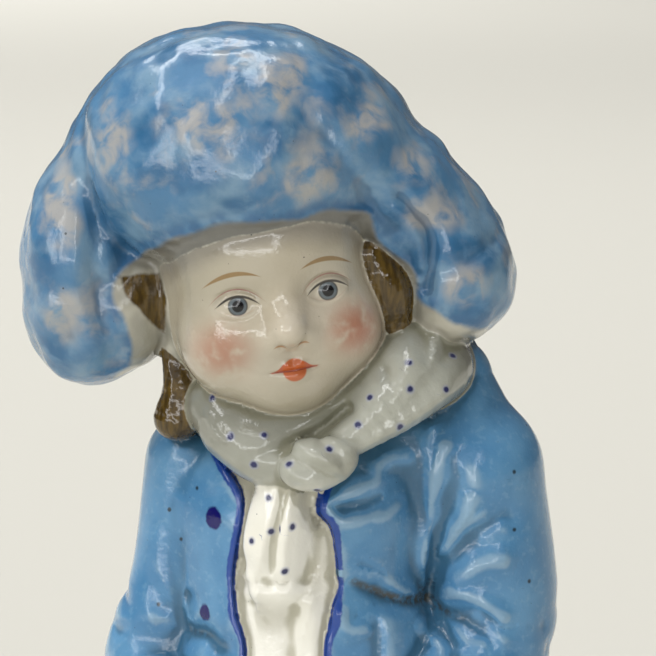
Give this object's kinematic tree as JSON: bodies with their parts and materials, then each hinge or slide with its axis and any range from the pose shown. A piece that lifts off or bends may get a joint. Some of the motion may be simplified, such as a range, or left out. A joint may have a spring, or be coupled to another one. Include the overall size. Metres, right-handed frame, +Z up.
{
  "type": "porcelain figurine",
  "caption": "Glazed porcelain figurine of a young sailor in a floppy blue hat, open blue jacket and spotted neckerchief, on a low oval base.",
  "frame": {"origin": "middle of the base's underside", "axes": "+Z up, +X towards the figure's left side, the figure faces -Y"},
  "size_m": [0.069, 0.058, 0.1955],
  "materials": {
    "glazed_porcelain": "gloss"
  },
  "bodies": {
    "root": {"figurine": "glazed_porcelain"}
  },
  "joints": []
}
